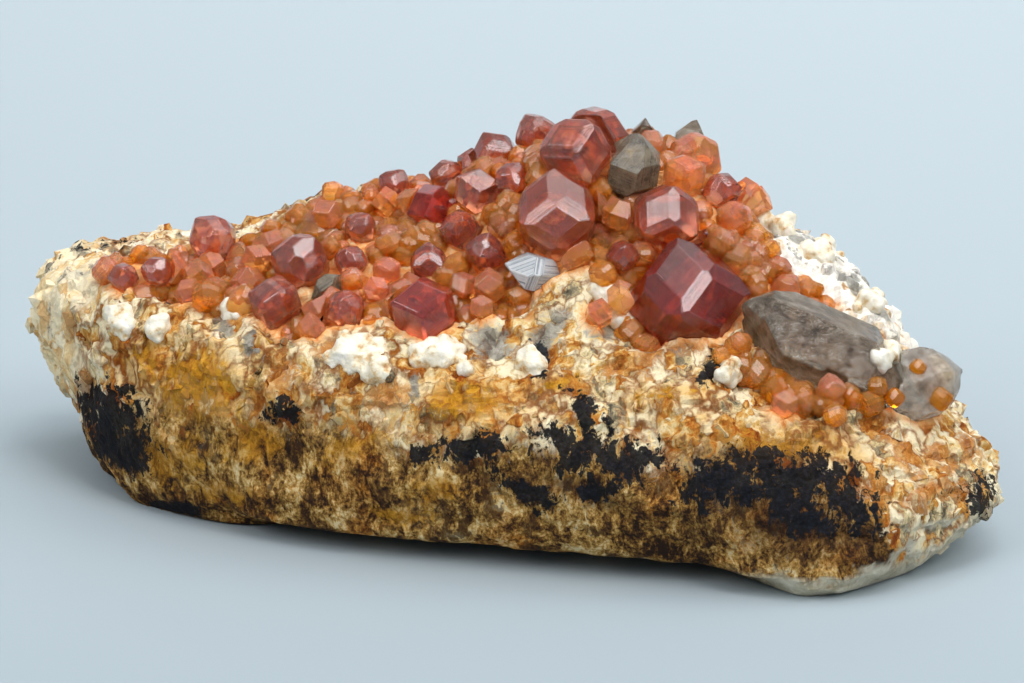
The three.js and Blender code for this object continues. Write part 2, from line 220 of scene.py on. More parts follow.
def roughen(rock_mesh):
    points = points_of(rock_mesh)
    normals = normals_of(rock_mesh)
    against, distance = nearest_crystal(points)
    snug = distance < REACH
    coarse, coarse_crack = blocks(points, 3.4, 11)
    fine, fine_crack = blocks(points + 0.4 * swells(points, 1.5, 12)[:, None], 1.5, 21)
    relief = 0.45 * swells(points, 6.0, 1) + 0.3 * swells(points, 2.2, 2) + 0.2 * swells(points, 0.9, 3)
    relief += 0.45 * (coarse - 0.5) + 0.34 * (fine - 0.5)
    relief -= 0.2 * (1 - fade(coarse_crack, 0, 0.3)) + 0.1 * (1 - fade(fine_crack, 0, 0.25))
    relief *= 1 - 0.55 * fade(worn_depth(points, normals), -0.5, 2)
    held = fade(distance, REACH, 2.2) * fade(points[:, 2], 0.2, 1.4)
    moved = points + normals * (relief * held)[:, None]
    moved[snug] = against[snug]
    moved[:, 2] = np.maximum(moved[:, 2], 0)
    foot = (1 - fade(moved[:, 2], 0.3, 2.2)) * fade(-moved[:, 1], 4, 12)
    foot *= fade(26 - np.abs(moved[:, 0]), 0, 8)
    moved[:, 1] += 3.4 * foot  # the front rim stands clear of the ground
    move_points(rock_mesh, moved)
    print("relief in mm:", round(float(relief.min()), 2), "to", round(float(relief.max()), 2))


roughen(rock.data)

# %% [markdown]
# ## Stains on the rock
# Iron and manganese water has stained the broken front: blue-black manganese oxide in patches, brown
# limonite over the lower half, ochre and orange rust near the white top. The patches are laid out as
# ellipses in the front view, each with a place across and up, a half-width, a half-height and a
# turn. Each point of the net keeps how deep it is inside a patch, and the material breaks up the edge
# with fine noise, so that the boundary is sharper than the net.

# %% Patches laid out in the front view
MANGANESE = [  # across, up, half-width, half-height in mm, turn in degrees
    (-33.3, -5.9, 3.0, 2.2, 0), (-32.3, -8.6, 2.5, 2.0, 0), (-35.4, -4.8, 1.6, 1.1, 0),
    (-19.3, -6.1, 1.4, 0.8, 0), (-27.6, -14.0, 2.6, 0.8, -6), (-3.5, -9.0, 2.9, 1.1, 3),
    (-7.4, -9.6, 1.5, 0.9, 10), (0.9, -12.5, 2.7, 0.8, -30), (6.1, -6.2, 1.2, 1.9, 0),
    (6.2, -9.2, 3.6, 1.7, -10), (10.4, -10.2, 2.6, 1.4, 0), (7.2, -12.3, 1.9, 0.8, 15),
    (17.8, -11.4, 3.3, 1.6, 15), (23.2, -10.7, 4.6, 1.9, -8), (27.6, -13.0, 3.4, 1.8, -35),
    (24.4, -14.6, 2.8, 1.3, -20), (22.0, -12.8, 3.4, 1.0, -10), (38.9, -13.2, 1.3, 1.8, 0),
    (16.3, -2.4, 0.7, 1.3, 10), (2.6, -1.4, 0.9, 1.3, -15),
]
OCHRE = [
    (-28.6, -9.4, 3.2, 2.2, -20), (-24.0, -12.6, 2.6, 1.0, -10), (-9.0, -14.8, 2.4, 0.9, 0),
    (-26.2, -3.8, 3.9, 2.7, -10), (-30.4, -1.1, 1.6, 1.2, 0), (-3.8, -4.8, 3.2, 1.4, 0),
    (4.2, -3.6, 1.6, 0.6, 0), (22.3, -8.6, 5.0, 1.4, -5), (-21.5, -8.5, 3.0, 1.4, 0),
    (-14.0, -9.0, 2.6, 1.2, 20), (-6.0, -12.8, 3.0, 1.0, 0), (12.8, -4.4, 2.2, 0.7, 0),
]
RUST = [
    (11.1, -0.9, 1.3, 1.9, 0), (-19.2, -2.6, 1.5, 2.3, 0), (-10.6, -4.5, 1.3, 1.6, 0),
    (14.6, 0.2, 3.8, 1.3, -5), (31.5, -7.6, 1.6, 0.7, -20), (35.0, -9.4, 1.3, 0.8, 0),
    (38.0, -8.6, 0.9, 1.3, 0), (35.6, -12.6, 2.8, 0.8, 15), (33.0, -9.6, 0.7, 1.8, 10),
    (36.4, -10.6, 0.6, 1.6, -20), (-24.5, 2.2, 2.4, 0.7, -10), (-15.5, -0.6, 1.8, 0.6, 0),
    (1.0, 2.8, 1.6, 0.8, 0), (8.2, -2.2, 1.6, 0.6, 0), (-30.5, -10.6, 1.7, 1.2, 0),
    (-17.8, -9.0, 1.8, 1.6, 0), (13.2, -12.4, 3.4, 0.9, 0), (30.0, -12.4, 1.3, 1.6, 20),
]
UMBER = [
    (24.0, -15.0, 9.5, 4.0, -12), (6.0, -12.6, 6.0, 1.4, -8), (35.5, -13.0, 3.5, 1.2, 15),
]
QUARTZ_GREY = [
    (-21.4, -0.4, 1.0, 1.1, 0), (-23.9, 1.0, 1.0, 0.7, 0), (-1.8, 0.2, 1.7, 1.6, 0),
    (3.2, 0.6, 1.3, 1.9, -15), (7.5, 0.9, 1.2, 0.9, 0), (13.8, -0.3, 1.2, 0.8, 0),
    (-8.5, -4.0, 0.7, 1.7, 0), (24.0, 8.9, 2.4, 0.5, -30), (28.2, 5.1, 2.2, 0.5, -35),
    (20.6, 8.6, 1.2, 0.5, 0), (31.0, 2.6, 1.6, 0.5, -40), (-36.5, 5.6, 1.2, 0.6, 0),
]
SLOPE_FOOT = [(14, 6.0), (19.4, 4.3), (31.5, 0.1), (37.3, -4.0)]  # the white slope is above this line


def patch_depth(across, up, patches):
    """How deep each place is inside the nearest patch: 1 at its middle, 0 at its rim, less outside."""
    best = np.full(len(across), -3.0)
    for x, y, half_width, half_height, degrees in patches:
        turn = math.radians(degrees)
        dx, dy = across - x, up - y
        along = (dx * math.cos(turn) + dy * math.sin(turn)) / half_width
        over = (dy * math.cos(turn) - dx * math.sin(turn)) / half_height
        best = np.maximum(best, 1.12 - np.hypot(along, over))
    return best


# %% Where the garnet crust lies
CRUST_LOW = [(-33, 3.2), (-28, 0.8), (-22, -3.0), (-18, -6.6), (-12, -8.2), (-6, -9.4), (-1, -8.0),
             (4, -6.6), (8, -6.6), (12, -12.0), (17, -11.8), (20, -9.4), (26, -8.2), (28, -6.4)]
CRUST_HIGH = [(-33, 5.0), (-28, 5.6), (-20, 6.4), (-14, 8.4), (-9, 11.0), (4, 11.0), (12, 11.5),
              (18, 8.0), (20.5, 3.0), (21.5, -4.0), (26, -5.6), (28, -6.2)]  # x and y in the plan


def in_crust(points):
    """How far inside the garnet crust each point lies in the plan: above 0 inside, in mm."""
    low = np.interp(points[:, 0], *zip(*CRUST_LOW))
    high = np.interp(points[:, 0], *zip(*CRUST_HIGH))
    ends = np.minimum(points[:, 0] - CRUST_LOW[0][0], CRUST_LOW[-1][0] - points[:, 0])
    return np.minimum(np.minimum(points[:, 1] - low, high - points[:, 1]), ends)


# %% The stains, in front and on the other sides
# Each row has the patches in front. Then, for lumps on the other sides, it has their strength, their size
# in mm, a seed, how rare they are, and how much less of them the front has.
STAINS = {
    "manganese": (MANGANESE, 0.9, 9.0, 41, 0.5, 3.0),
    "ochre": (OCHRE, 0.9, 7.0, 42, 0.4, 3.0),
    "quartz": (QUARTZ_GREY, 0.8, 4.0, 43, 0.5, 0.9),
    "rust": (RUST, 0.9, 5.0, 46, 0.5, 1.2),
    "umber": (UMBER, 0.8, 8.0, 48, 0.5, 3.0),
}


def keep(mesh, name, values):
    """Keeps a value for each point of the mesh, for the material to read."""
    mesh.attributes.new(name, "FLOAT", "POINT").data.foreach_set("value", values.astype(np.float32))


def stain(rock_mesh):
    points = points_of(rock_mesh)
    normals = normals_of(rock_mesh)
    across, up = front_view(points)
    front = facing_front(points, normals)
    across = across + 0.8 * swells(points, 2.4, 31) + 0.4 * swells(points, 1.0, 32)
    up = up + 0.7 * swells(points, 2.0, 33) + 0.3 * swells(points, 0.9, 34)
    for name, (patches, strength, size, seed, rare, spared) in STAINS.items():
        in_front = patch_depth(across, up, patches) - 3 * (1 - front)
        elsewhere = strength * swells(points, size, seed) - rare - spared * front
        keep(rock_mesh, name, np.maximum(in_front, elsewhere))
    keep(rock_mesh, "brown", worn_depth(points, normals) / 2 + 0.4 * swells(points, 2.0, 33))
    clean(rock_mesh, points, normals, across, up, front)
    print("stained", len(points), "points")


# %% The places that are cleaner, and the orange ground under the garnets
def clean(rock_mesh, points, normals, across, up, front):
    over_quartz = up - np.interp(across, *zip(*SLOPE_FOOT))
    topside = fade(normals[:, 2], 0, 0.4) * fade(18 - points[:, 1] + 3 * swells(points, 4.0, 49), 0, 8)
    keep(rock_mesh, "white", topside * fade(across, 14, 18) * fade(over_quartz, -0.5, 1))
    under = fade(-normals[:, 2] - 0.12, 0, 0.25) * fade(points[:, 0], 18, 24)
    keep(rock_mesh, "pale", under * (1 + 0.3 * swells(points, 2.0, 45)))
    left_end = fade(-points[:, 0] + 2.5 * swells(points, 3.0, 47), 34, 36.5) * fade(up, -5, -2)
    keep(rock_mesh, "cream", 0.8 * left_end)
    keep(rock_mesh, "wash", (0.35 + 0.65 * front) * (1 - fade(up, 1, 5) * fade(across, 14, 20)))
    against_crystals = 1 - fade(nearest_crystal(points)[1], 0.25, 0.5)
    in_the_crust = fade(in_crust(points), -0.8, 0.3) * fade(normals[:, 2], 0.1, 0.4)
    keep(rock_mesh, "crust", np.maximum(in_the_crust, against_crystals))


stain(rock.data)

# %% [markdown]
# ## Colours and nodes
# Colours are written as sRGB hex values, the way a colour picker shows them, and one function turns
# them into the linear values that the shader works in. One more function adds any node with its
# settings and its links, and gives back its output, so that a material reads as a list of what goes
# into what. Most patterns here are sums of others, each at its own weight, so that has a function too.


# %% Colour and node helpers
def linear(hex_colour):
    """An sRGB hex colour as linear RGBA."""
    channels = [int(hex_colour[i:i + 2], 16) / 255 for i in (1, 3, 5)]
    return [c / 12.92 if c <= 0.04045 else ((c + 0.055) / 1.055) ** 2.4 for c in channels] + [1]


def add(material, kind, inputs=(), out=0, stops=(), **settings):
    """Adds a node and gives one of its outputs, by number or name. inputs maps each socket to a value,
    a hex colour or another node's output. stops are the places and hex colours of a colour ramp."""
    node = material.node_tree.nodes.new("ShaderNode" + kind)
    for name, value in settings.items():
        setattr(node, name, value)
    for socket, value in dict(inputs).items():
        if isinstance(value, bpy.types.NodeSocket):
            material.node_tree.links.new(value, node.inputs[socket])
        else:
            node.inputs[socket].default_value = linear(value) if isinstance(value, str) else value
    if stops:
        elements = node.color_ramp.elements
        while len(elements) < len(stops):
            elements.new(0.5)
        for element, (position, colour) in zip(elements, stops):
            element.position = position
            element.color = linear(colour)
    return node.outputs[out]


def new_material(name):
    material = bpy.data.materials.new(name)
    material.use_nodes = True
    material.node_tree.nodes.clear()
    return material


def finish_material(material, surface, inside=None):
    """Links the surface, and what fills the piece if light gets in, to the material's output."""
    output = material.node_tree.nodes.new("ShaderNodeOutputMaterial")
    material.node_tree.links.new(surface, output.inputs["Surface"])
    if inside:
        material.node_tree.links.new(inside, output.inputs["Volume"])
    return material


# %% Patterns on a piece
def millimetres(material, stretch=(1, 1, 1), turn=(0, 0, 0)):
    """Coordinates on the piece in mm, stretched or turned for a grain that runs one way."""
    place = add(material, "TexCoord", out="Object")
    scale = tuple(s / MM for s in stretch)
    return add(material, "Mapping", {"Vector": place, "Scale": scale, "Rotation": turn})


def wavering(material, coordinates, size, amount):
    """Coordinates pushed about by noise, so that grain outlines are ragged."""
    push = add(material, "TexNoise", {"Vector": coordinates, "Scale": 1 / size, "Detail": 3.0}, out="Color")
    centred = add(material, "VectorMath", {0: push, 1: (0.5, 0.5, 0.5)}, operation="SUBTRACT")
    scaled = add(material, "VectorMath", {0: centred, "Scale": amount}, operation="SCALE")
    return add(material, "VectorMath", {0: coordinates, 1: scaled}, operation="ADD")


def summed(material, start, *parts, clamp=False):
    """start, which is a number or a pattern, plus each part's pattern times its weight."""
    total = start
    for i, (pattern, weight) in enumerate(parts):
        last = i == len(parts) - 1
        total = add(material, "Math", {0: pattern, 1: weight, 2: total}, operation="MULTIPLY_ADD",
                    use_clamp=clamp and last)
    return total


# %% [markdown]
# ## The rock's finish
# Albite is a white feldspar with a pearly, sugary break. Rust has soaked into it along its grains, so
# it goes from white through cream to orange, with grey quartz grains between. The lower front is
# limonite-stained: brown, fibrous and speckled. Manganese oxide lies over it like blue-black velvet.
# The material lays these over each other in that order, each through a mask from the net, broken up
# by noise at the size of the real grains: 0.3 to 4 mm. One painted texture could hold it all, but noise
# has no seams, covers the hidden sides too, and stays sharp from close up.


# %% Masks and layers
def torn(material, depth, noise, spread, sharp):
    """A mask from how deep a point is inside a patch, with its edge broken up by noise."""
    centred = add(material, "Math", {0: noise, 1: 0.5}, operation="SUBTRACT")
    pushed = add(material, "Math", {0: centred, 1: spread, 2: depth}, operation="MULTIPLY_ADD")
    return add(material, "Math", {0: pushed, 1: sharp}, operation="MULTIPLY", use_clamp=True)


def laid_over(material, under, over, mask, strength=1.0, way="MIX"):
    """One finish over another where the mask is. way is MIX for a cover, or MULTIPLY for a thin stain
    that the colour under it shows through."""
    amount = add(material, "Math", {0: mask, 1: strength}, operation="MULTIPLY")
    return add(material, "Mix", {0: amount, 6: under, 7: over}, out=2, data_type="RGBA", blend_type=way)


# %% Patterns at the size of the real grains
def rock_patterns(stone):
    """Every pattern that the rock's finishes share, by name, with the marks that the net keeps."""
    marks = (*STAINS, "brown", "white", "pale", "cream", "wash", "crust", "tone")
    pattern = {name: add(stone, "Attribute", out="Fac", attribute_name=name) for name in marks}
    place = millimetres(stone)
    flaky = millimetres(stone, stretch=(1, 1, 0.6), turn=(0, math.radians(20), 0))
    ragged = wavering(stone, flaky, 1.1, 2.2)
    leaning = millimetres(stone, stretch=(1, 1, 0.6), turn=(0, math.radians(-35), 0))
    noises = (  # name, coordinates, size in mm, detail, roughness
        ("broad", place, 3.6, 4, 0.55), ("grain", ragged, 1.1, 7, 0.66), ("fine", place, 0.32, 5, 0.7),
        ("fibre", wavering(stone, leaning, 4.5, 9.0), 1.2, 9, 0.74), ("blotch", ragged, 1.9, 3, 0.55),
        ("hue", wavering(stone, place, 3.0, 3.0), 4.5, 4, 0.55))
    for name, vector, size, detail, roughness in noises:
        pattern[name] = add(stone, "TexNoise", {"Vector": vector, "Scale": 1 / size, "Detail": detail,
                                                "Roughness": roughness}, out="Fac")
    mosaic = {"Vector": ragged, "Scale": 1 / 1.5, "Randomness": 1.0}  # feldspar grains of 1.5 mm
    cell_colour = add(stone, "TexVoronoi", mosaic, out="Color")
    pattern["cell"] = add(stone, "SeparateColor", {"Color": cell_colour}, out="Red")
    pattern["cell_edge"] = add(stone, "TexVoronoi", mosaic, out="Distance", feature="DISTANCE_TO_EDGE")
    pattern["mixed"] = summed(stone, -0.18, (pattern["grain"], 0.9), (pattern["tone"], 0.34),
                              (pattern["cell"], 0.5))
    return pattern


# %% The tones of each finish
ROCK_TONES = {  # the pattern that the tones follow, then the tones themselves
    "albite": ("mixed", [(0.16, "#74370f"), (0.25, "#b06a26"), (0.34, "#d2a25a"), (0.42, "#ead6ae"),
                         (0.5, "#f8f3e8"), (0.62, "#f4eee0"), (0.7, "#dccba8"), (0.76, "#9c9486"),
                         (0.86, "#4c4842")]),
    "clean albite": ("mixed", [(0.18, "#b98a50"), (0.28, "#e2cfae"), (0.38, "#f2eee4"),
                               (0.68, "#f6f3ec"), (0.78, "#c4c1ba"), (0.88, "#8e8b84")]),
    "cream albite": ("mixed", [(0.2, "#d4ac74"), (0.4, "#ecd6a8"), (0.6, "#f4e6c6"), (0.76, "#dccfb4"),
                               (0.85, "#8c8474")]),
    "grey quartz": ("grain", [(0.3, "#3f3d38"), (0.45, "#6d6a63"), (0.6, "#98948a"), (0.75, "#bdb8ac")]),
    "rust": ("grain", [(0.3, "#5a2a0c"), (0.42, "#8c4c16"), (0.52, "#b4702a"), (0.62, "#cf9c5c"),
                       (0.75, "#e6cfa4")]),
    "ochre": ("grain", [(0.28, "#452a08"), (0.4, "#7f4f0e"), (0.5, "#ae7412"), (0.62, "#c88e1e"),
                        (0.75, "#d6a848")]),
    "pale clay": ("grain", [(0.3, "#a8997c"), (0.5, "#c6bda6"), (0.7, "#d8d1c0")]),
    "under the garnets": ("grain", [(0.35, "#d87c3c"), (0.5, "#f0ac68"), (0.65, "#fbdcae")]),
    "manganese oxide": ("fine", [(0.3, "#030406"), (0.5, "#080b11"), (0.62, "#101723"),
                                 (0.7, "#231c14"), (0.78, "#5c3f24")]),
    "limonite": ("depth", [(0.1, "#24150a"), (0.25, "#452c14"), (0.38, "#6c4a20"), (0.5, "#8a6630"),
                           (0.61, "#a98244"), (0.74, "#c29f64"), (0.9, "#d8c294")]),
}


def rock_tones(stone, on):
    """The colour of each finish, if it covered the whole rock. Limonite's is a sum of all the noises."""
    sum_of_all = summed(stone, 0.0, (on["grain"], 0.7), (on["fibre"], 0.8), (on["fine"], 0.45),
                        (on["broad"], 0.6))
    on["depth"] = summed(stone, -2.73, (sum_of_all, 2.5))
    return {name: add(stone, "ValToRGB", {"Fac": on[follows]}, stops=stops)
            for name, (follows, stops) in ROCK_TONES.items()}


# %% Albite, as it broke and as the rust soaked in
def soaked_albite(stone, on, tones):
    """Rusty seams between the grains, a yellow wash near the ochre, and clean white on the top slope."""
    seam = summed(stone, -0.85, (on["broad"], 3.4), (on["cell_edge"], -5.0), clamp=True)
    colour = laid_over(stone, tones["albite"], "#8c5422", seam, 0.85)
    near_ochre = add(stone, "Math", {0: on["ochre"], 1: 1.5}, operation="ADD")
    soaked = torn(stone, near_ochre, on["broad"], 5.0, 0.6)
    colour = laid_over(stone, colour, "#efca88", soaked, 0.75, "MULTIPLY")
    colour = laid_over(stone, colour, "#f0e6cc", on["wash"], 1.0, "MULTIPLY")
    return laid_over(stone, colour, tones["clean albite"], on["white"], 0.8)


# %% Limonite, in the worn brown zone
def fibrous_limonite(stone, on, tones, ochre_mask):
    """Golden and greyish in turns, spotted with dark brown, and with ochre and umber over it."""
    golden = summed(stone, -3.1, (on["hue"], 6.0), clamp=True)
    greyish = summed(stone, 2.3, (on["hue"], -6.0), clamp=True)
    spots = torn(stone, summed(stone, -4.7, (on["blotch"], 8.0)), on["fine"], 2.0, 3.0)
    umber_mask = torn(stone, on["umber"], on["grain"], 3.0, 1.2)
    colour = laid_over(stone, tones["limonite"], "#f2c068", golden, 0.8, "MULTIPLY")
    colour = laid_over(stone, colour, "#8a8070", greyish, 0.3)
    colour = laid_over(stone, colour, "#3c2412", spots, 0.75)
    colour = laid_over(stone, colour, tones["ochre"], ochre_mask, 0.6)
    return laid_over(stone, colour, "#584030", umber_mask, 0.85, "MULTIPLY")


# %% Albite and quartz rock with iron and manganese stains
def rock_material():
    """Dull, because the break is rough at every size: only the quartz has some shine."""
    stone = new_material("albite and quartz rock, iron and manganese stained")
    on = rock_patterns(stone)
    tones = rock_tones(stone, on)
    grain = on["grain"]
    quartz_mask = torn(stone, on["quartz"], grain, 2.6, 2.2)
    ochre_mask = torn(stone, on["ochre"], grain, 4.5, 1.4)
    limonite = fibrous_limonite(stone, on, tones, ochre_mask)
    layers = (  # finish, mask, strength
        (tones["grey quartz"], quartz_mask, 0.85),
        (tones["rust"], torn(stone, on["rust"], grain, 4.0, 1.8), 0.85),
        (tones["ochre"], ochre_mask, 0.9),
        (limonite, torn(stone, on["brown"], grain, 5.0, 1.0), 1.0),
        (tones["pale clay"], on["pale"], 1.0),
        (tones["cream albite"], on["cream"], 1.0),
        (tones["manganese oxide"], torn(stone, on["manganese"], grain, 6.0, 4.0), 0.97),
        (tones["under the garnets"], on["crust"], 1.0))
    colour = soaked_albite(stone, on, tones)
    for finish, mask, strength in layers:
        colour = laid_over(stone, colour, finish, mask, strength)
    height = summed(stone, grain, (on["cell"], 0.5), (on["fine"], 0.5))
    relief = add(stone, "Bump", {"Height": height, "Strength": 0.7, "Distance": 0.24 * MM})
    dull = summed(stone, 0.8, (quartz_mask, -0.35))
    surface = add(stone, "BsdfPrincipled", {"Base Color": colour, "Roughness": dull, "IOR": 1.4,
                                            "Specular IOR Level": 0.25, "Normal": relief})
    return finish_material(stone, surface)


# %% Dressing the rock
def dress(piece, material, node_names):
    """Gives a piece its material, hangs it under the root, and hides the CAD nodes that it stands for."""
    piece.data.materials.clear()
    piece.data.materials.append(material)
    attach(piece, "root")
    if node_names:
        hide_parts(*node_names)


stained_rock = rock_material()
dress(rock, stained_rock, [ROCK])
print("rock dressed in", rock.data.materials[0].name)

# %% [markdown]
# ## Crystals
# Each crystal keeps its CAD shape. On the real ones every edge is very slightly blunt, so that it
# catches a thread of light, many ridges are cut by a narrow extra face, and the faces carry fine growth
# lines that run along the face's longest edge. The copy of each CAD crystal is welded and its coplanar
# triangles are joined into whole faces. Planes then cut the extra faces, corners that have come too
# close for a bevel are welded, and the edges are bevelled. Each corner of each face keeps its distance
# across the growth lines, so that the material can draw them as a fine relief in the face's direction.


# %% Turning a CAD crystal into a real one
def half_width(source):
    own = points_of(source.data)
    return (own.max(axis=0) - own.min(axis=0)).min() / 2


def outer_edges(shape):
    """The edges where two faces meet in a ridge."""
    between_two = [edge for edge in shape.edges if len(edge.link_faces) == 2]
    return [edge for edge in between_two if edge.calc_face_angle_signed(0) > 0.1]


DODECAHEDRON_TURN = 60  # degrees that the surface turns through at a ridge of a garnet dodecahedron


def cut_facets(shape, depth, seed):
    """Cuts a flat facet along each ridge of the dodecahedron: about this deep, but different on each."""
    random = np.random.default_rng(seed)
    planes = []
    for edge in outer_edges(shape):
        off_ridge = abs(math.degrees(edge.calc_face_angle(0)) - DODECAHEDRON_TURN)
        if edge.calc_length() > 2 * depth and off_ridge < 3:
            outward = (edge.link_faces[0].normal + edge.link_faces[1].normal).normalized()
            planes.append((edge.verts[0].co - outward * depth * random.uniform(0.5, 1.7), outward))
    for place, outward in planes:
        cut = bmesh.ops.bisect_plane(shape, geom=shape.verts[:] + shape.edges[:] + shape.faces[:],
                                     plane_co=place, plane_no=outward, clear_outer=True, dist=1e-7)
        rim = [part for part in cut["geom_cut"] if isinstance(part, bmesh.types.BMEdge)]
        if len(rim) > 2:
            bmesh.ops.edgeloop_fill(shape, edges=rim)
    bmesh.ops.recalc_face_normals(shape, faces=shape.faces)


# %% Whole faces, blunt edges and growth lines
def close_gaps(shape):
    """Fills any hole that cutting or welding has left, so that the crystal stays one closed shell."""
    rims = [edge for edge in shape.edges if edge.is_boundary]
    bmesh.ops.holes_fill(shape, edges=rims, sides=0)
    bmesh.ops.recalc_face_normals(shape, faces=shape.faces)


def mark_growth(shape):
    """Keeps, for each corner of each face, how far across the face's growth lines it is, in mm."""
    across = shape.loops.layers.float.new("across")
    for face in shape.faces:
        longest = max(face.edges, key=lambda edge: edge.calc_length())
        along = (longest.verts[1].co - longest.verts[0].co).normalized()
        sideways = face.normal.cross(along)
        for loop in face.loops:
            loop[across] = loop.vert.co.dot(sideways) / MM


def crystal_mesh(source, facet, blunt):
    """The source's shape with whole faces, facets cut along its ridges, blunt edges and growth lines.
    facet is how deep the facets cut, as a share of the crystal's half-width; blunt is in mm."""
    shape = bmesh.new()
    shape.from_mesh(source.data)
    bmesh.ops.remove_doubles(shape, verts=shape.verts, dist=0.002 * MM)
    bmesh.ops.dissolve_limit(shape, angle_limit=math.radians(1), verts=shape.verts, edges=shape.edges)
    if facet:
        cut_facets(shape, facet * half_width(source) * MM, len(source.name))
    bmesh.ops.remove_doubles(shape, verts=shape.verts, dist=1.5 * blunt * MM)
    close_gaps(shape)
    bmesh.ops.bevel(shape, geom=outer_edges(shape), offset=blunt * MM, segments=2, affect="EDGES",
                    profile=0.5, clamp_overlap=True)
    close_gaps(shape)
    mark_growth(shape)
    mesh = bpy.data.meshes.new(source.name)
    shape.to_mesh(mesh)
    shape.free()
    return mesh


def grow(name, material, facet, blunt):
    """Puts a finished crystal in place of the CAD one."""
    crystal = bpy.data.objects.new(name + "_crystal", crystal_mesh(nodes[name], facet, blunt))
    bpy.context.scene.collection.objects.link(crystal)
    dress(crystal, material, [name])


# %% [markdown]
# ## Spessartine
# Spessartine is a manganese garnet. It is clear, with a high index of refraction (1.80), so its faces
# mirror the sky even where its body is deep red. Its colour is in its depth: thin places glow orange,
# and thick ones go to wine red. That is what volume absorption does: the further light travels inside,
# the more green and blue it loses. The four garnets here are the same mineral at four depths of colour,
# all with growth lines, about seven to the millimetre. The fine grains touch and grow into each other.
# In the real crust light crosses from grain to grain with no air between, but here each keeps its own
# skin, and at an index of 1.80 they would trap the light and go dark. So they have a lower index, and
# more gloss to make up for what that takes away.
# On top of that, each garnet's tone is painted rosier on faces that look up and more orange on faces that
# look down: painted light, not absorption.


# %% Spessartine garnet
GARNET_BEND = 1.80  # index of refraction
POLISH = 0.02  # roughness: natural crystal faces are almost as smooth as glass


def spessartine(name, body, clear, lost, density, lines, bends=GARNET_BEND, gloss=0.5):
    """body is the colour of the milky places in the crystal, and clear is how much of it is free of
    them. lost is the colour left after a long way through, and density says how fast, per metre. lines
    is the height of the growth lines in mm."""
    garnet = new_material(name)
    across = add(garnet, "Attribute", out="Fac", attribute_name="across")
    growth = add(garnet, "TexNoise", {"W": across, "Scale": 7.0, "Detail": 4.0, "Roughness": 0.7},
                 out="Fac", noise_dimensions="1D")
    place = millimetres(garnet)
    etched = add(garnet, "TexNoise", {"Vector": place, "Scale": 1 / 0.5, "Detail": 3.0,
                                      "Roughness": 0.55}, out="Fac")
    height = summed(garnet, growth, (etched, 0.35))
    relief = add(garnet, "Bump", {"Height": height, "Strength": 0.4, "Distance": lines * MM})
    cloud = add(garnet, "TexNoise", {"Vector": place, "Scale": 1 / 2.2, "Detail": 4.0,
                                     "Roughness": 0.6}, out="Fac")
    own_tone = add(garnet, "Attribute", out="Fac", attribute_name="tone")
    facing = add(garnet, "NewGeometry", out="Normal")
    up_facing_painted_light = add(garnet, "SeparateXYZ", {0: facing}, out="Z")  # faces that look up are a little rosier
    # Painted light: faces that look up are painted rosier as a painted reflection of the bright sky, and
    # faces that look down more orange as a painted glow.
    shade = summed(garnet, -0.1, (cloud, 1.0), (own_tone, 0.3), (up_facing_painted_light, -0.16))
    tone = add(garnet, "ValToRGB", {"Fac": shade}, stops=body)
    surface = add(garnet, "BsdfPrincipled", {"Base Color": tone, "Roughness": POLISH, "IOR": bends,
                                             "Transmission Weight": clear, "Specular IOR Level": gloss,
                                             "Normal": relief})
    inside = add(garnet, "VolumeAbsorption", {"Color": lost, "Density": density})
    return finish_material(garnet, surface, inside)


WINE = [(0.3, "#e8503c"), (0.45, "#fa6c4c"), (0.6, "#ff8c5c"), (0.72, "#ffb070")]
RED = [(0.25, "#e08c78"), (0.4, "#f0987c"), (0.55, "#ffa868"), (0.72, "#ffb860")]
AMBER = [(0.2, "#ffac8c"), (0.36, "#ffb47c"), (0.5, "#ffb860"), (0.64, "#ffac40"), (0.8, "#ffa020")]
wine_garnet = spessartine("spessartine garnet, deep crystals", WINE, 0.94, "#c43a34", 52, 0.05)
rose_garnet = spessartine("spessartine garnet, rose crystals", RED, 0.91, "#dc5a44", 32, 0.05)
red_garnet = spessartine("spessartine garnet, middle crystals", RED, 0.9, "#f0683c", 36, 0.03)
amber_garnet = spessartine("spessartine garnet, fine crystals", AMBER, 0.77, "#ff9850", 8, 0.03,
                           bends=1.38, gloss=1.0)

# %% Which garnet is which
WINE_ONES = ("hero", "ridge_dark", "front_ledge")
ROSE_ONES = ("peak", "upper_middle", "right_round", "ridge_grey", "left_red", "left_front")
AMBER_ONES = ("right_c", "right_d", "ridge_e", "right_a", "right_e", "slope_e", "slope_i", "low_a")
garnet_names = sorted(name for name in nodes if name.startswith("garnet"))
for name in garnet_names:
    if "crust" in name:
        grow(name, amber_garnet, 0, 0.1)
    elif any(word in name for word in AMBER_ONES):
        grow(name, amber_garnet, 0.08, 0.07)
    elif any(word in name for word in WINE_ONES):
        grow(name, wine_garnet, 0, 0.07)
    elif any(word in name for word in ROSE_ONES):
        grow(name, rose_garnet, 0, 0.08)
    else:
        grow(name, red_garnet, 0.1, 0.08)
print(len(garnet_names), "garnet pieces")

# %% [markdown]
# ## Veils inside the large garnets
# A large garnet is seldom clean inside. It has cracked and healed as it grew, and each healed crack is
# a crumpled film with iron oxide on it, which glows orange through the red. Each film here is a small
# square net, rounded off, crumpled by noise and given a little thickness so that it is a closed piece.
# It is sealed in the crystal, so it is made as its own mesh and seen only through the garnet.


# %% Crumpled films
ROWS = 9  # corners along each side of a film
FILM = 0.02  # mm thick


def random_turn(random):
    axis = Vector(random.normal(size=3)).normalized()
    return Matrix.Rotation(random.uniform(0, 2 * math.pi), 3, axis)


